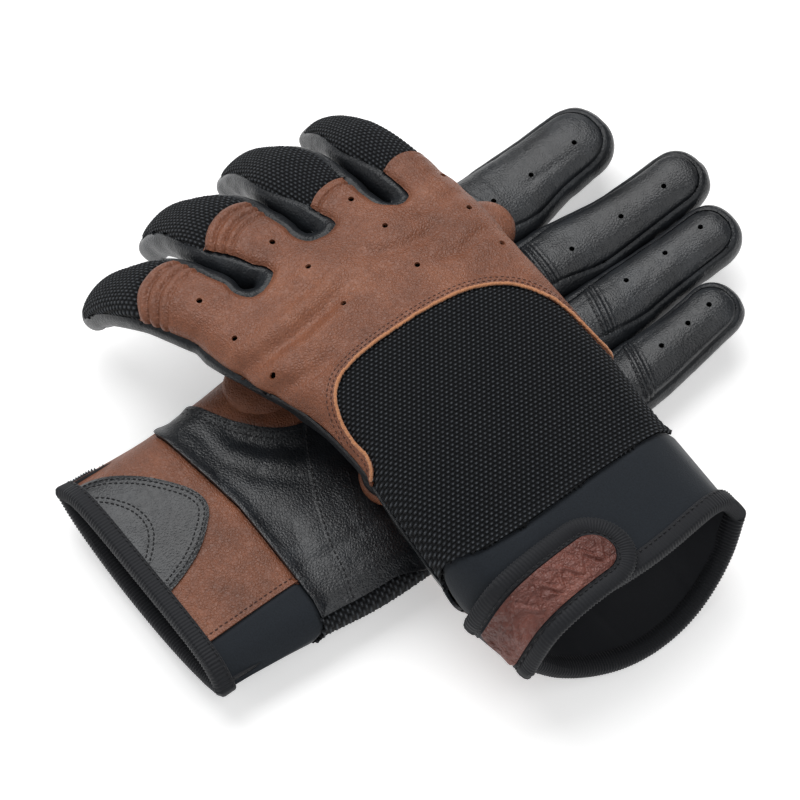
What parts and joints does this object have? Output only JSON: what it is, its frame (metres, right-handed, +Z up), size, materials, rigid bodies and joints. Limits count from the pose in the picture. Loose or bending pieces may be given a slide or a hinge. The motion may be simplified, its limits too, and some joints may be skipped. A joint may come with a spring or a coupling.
{
  "type": "pair of riding gloves",
  "caption": "Pair of short-cuff leather riding gloves laid crossed, one palm up and one back up, with knit backs, perforated leather and hook-and-loop wrist tabs.",
  "frame": {"origin": "on the surface the gloves lie on, under the middle of the pair's bounding box", "axes": "+Z up; +Y away from the viewer, towards which the fingers of both gloves point; +X to the viewer's right, the side the upper glove's cuff lies on"},
  "size_m": [0.2425, 0.2426, 0.064],
  "materials": {
    "brown_leather": "satin, fine grain, semi-aniline",
    "black_leather": "semi-gloss, soft grain",
    "black_knit": "ribbed stretch knit",
    "neoprene": "matt jersey-faced neoprene",
    "elastic_tape": "ribbed elastic tape",
    "hook_tape": "hook tape"
  },
  "bodies": {
    "left_hand": {"left_back_leather": "brown_leather", "left_back_knit": "black_knit", "left_palm_leather": "black_leather", "left_palm_overlay": "black_leather", "left_cuff_neoprene": "neoprene", "left_cuff_leather": "brown_leather", "left_crescent_patch": "black_leather", "left_cuff_binding": "elastic_tape"},
    "left_tab": {"left_closure_tab": "neoprene", "left_tab_binding": "elastic_tape", "left_tab_patch": "brown_leather", "left_hook_patch": "hook_tape"},
    "left_thumb": {"left_thumb_back": "brown_leather", "left_thumb_palm": "black_leather"},
    "left_index": {"left_index_fourchette": "black_leather", "left_index_knit": "black_knit", "left_index_knuckle": "brown_leather", "left_index_palm": "black_leather"},
    "left_middle": {"left_middle_fourchette": "black_leather", "left_middle_knit": "black_knit", "left_middle_knuckle": "brown_leather", "left_middle_palm": "black_leather"},
    "left_ring": {"left_ring_fourchette": "black_leather", "left_ring_knit": "black_knit", "left_ring_knuckle": "brown_leather", "left_ring_palm": "black_leather"},
    "left_little": {"left_little_fourchette": "black_leather", "left_little_knit": "black_knit", "left_little_palm": "black_leather"},
    "right_hand": {"right_back_leather": "brown_leather", "right_back_knit": "black_knit", "right_palm_leather": "black_leather", "right_palm_overlay": "black_leather", "right_cuff_neoprene": "neoprene", "right_cuff_leather": "brown_leather", "right_crescent_patch": "black_leather", "right_cuff_binding": "elastic_tape"},
    "right_tab": {"right_closure_tab": "neoprene", "right_tab_binding": "elastic_tape", "right_tab_patch": "brown_leather", "right_hook_patch": "hook_tape"},
    "right_thumb": {"right_thumb_back": "brown_leather", "right_thumb_palm": "black_leather"},
    "right_index": {"right_index_fourchette": "black_leather", "right_index_knit": "black_knit", "right_index_knuckle": "brown_leather", "right_index_palm": "black_leather"},
    "right_middle": {"right_middle_fourchette": "black_leather", "right_middle_knit": "black_knit", "right_middle_knuckle": "brown_leather", "right_middle_palm": "black_leather"},
    "right_ring": {"right_ring_fourchette": "black_leather", "right_ring_knit": "black_knit", "right_ring_knuckle": "brown_leather", "right_ring_palm": "black_leather"},
    "right_little": {"right_little_fourchette": "black_leather", "right_little_knit": "black_knit", "right_little_palm": "black_leather"}
  },
  "joints": [
    {"name": "left_tab_peel", "type": "hinge", "parent": "left_hand", "child": "left_tab", "pos_m": [-0.10851, -0.031, 0.01542], "axis": [0.788, 0.6157, 0.0047], "range_deg": [0, 150]},
    {"name": "left_thumb_swing", "type": "hinge", "parent": "left_hand", "child": "left_thumb", "pos_m": [-0.05156, -0.00643, 0.0292], "axis": [0, 0, 1], "range_deg": [0, 6], "stiffness_Nm_per_rad": 0.05},
    {"name": "left_index_flex", "type": "hinge", "parent": "left_hand", "child": "left_index", "pos_m": [0.01732, 0.06134, 0.02], "axis": [0.7604, -0.6494, 0], "range_deg": [0, 16], "stiffness_Nm_per_rad": 0.1, "springref_deg": -8.59},
    {"name": "left_middle_flex", "type": "hinge", "parent": "left_hand", "child": "left_middle", "pos_m": [0.03919, 0.03985, 0.02], "axis": [0.6046, -0.7965, 0], "range_deg": [0, 34], "stiffness_Nm_per_rad": 0.1, "springref_deg": -8.59},
    {"name": "left_ring_flex", "type": "hinge", "parent": "left_hand", "child": "left_ring", "pos_m": [0.05411, 0.0175, 0.02], "axis": [0.599, -0.8007, 0], "range_deg": [0, 40], "stiffness_Nm_per_rad": 0.1, "springref_deg": -8.59},
    {"name": "left_little_flex", "type": "hinge", "parent": "left_hand", "child": "left_little", "pos_m": [0.06351, -0.00752, 0.02], "axis": [0.599, -0.8007, 0], "range_deg": [0, 40], "stiffness_Nm_per_rad": 0.1, "springref_deg": -8.59},
    {"name": "right_lift", "type": "slide", "parent": "left_hand", "child": "right_hand", "axis": [0, 0, 1], "range_m": [0, 0.15]},
    {"name": "right_tab_peel", "type": "hinge", "parent": "right_hand", "child": "right_tab", "pos_m": [0.03135, -0.10973, 0.02823], "axis": [0.6444, -0.7157, -0.2694], "range_deg": [0, 150]},
    {"name": "right_thumb_swing", "type": "hinge", "parent": "right_hand", "child": "right_thumb", "pos_m": [-0.00724, -0.04759, 0.0303], "axis": [0, 0, -1], "range_deg": [0, 25], "stiffness_Nm_per_rad": 0.05},
    {"name": "right_index_flex", "type": "hinge", "parent": "right_hand", "child": "right_index", "pos_m": [-0.06285, 0.00326, 0.0365], "axis": [-0.4695, -0.8829, 0], "range_deg": [0, 40], "stiffness_Nm_per_rad": 0.1, "springref_deg": -8.59},
    {"name": "right_middle_flex", "type": "hinge", "parent": "right_hand", "child": "right_middle", "pos_m": [-0.04453, 0.02581, 0.0365], "axis": [-0.5592, -0.829, 0], "range_deg": [0, 40], "stiffness_Nm_per_rad": 0.1, "springref_deg": -8.59},
    {"name": "right_ring_flex", "type": "hinge", "parent": "right_hand", "child": "right_ring", "pos_m": [-0.02119, 0.04413, 0.0365], "axis": [-0.6756, -0.7373, 0], "range_deg": [0, 40], "stiffness_Nm_per_rad": 0.1, "springref_deg": -8.59},
    {"name": "right_little_flex", "type": "hinge", "parent": "right_hand", "child": "right_little", "pos_m": [0.00553, 0.0554, 0.0365], "axis": [-0.7193, -0.6947, 0], "range_deg": [0, 40], "stiffness_Nm_per_rad": 0.1, "springref_deg": -8.59}
  ]
}
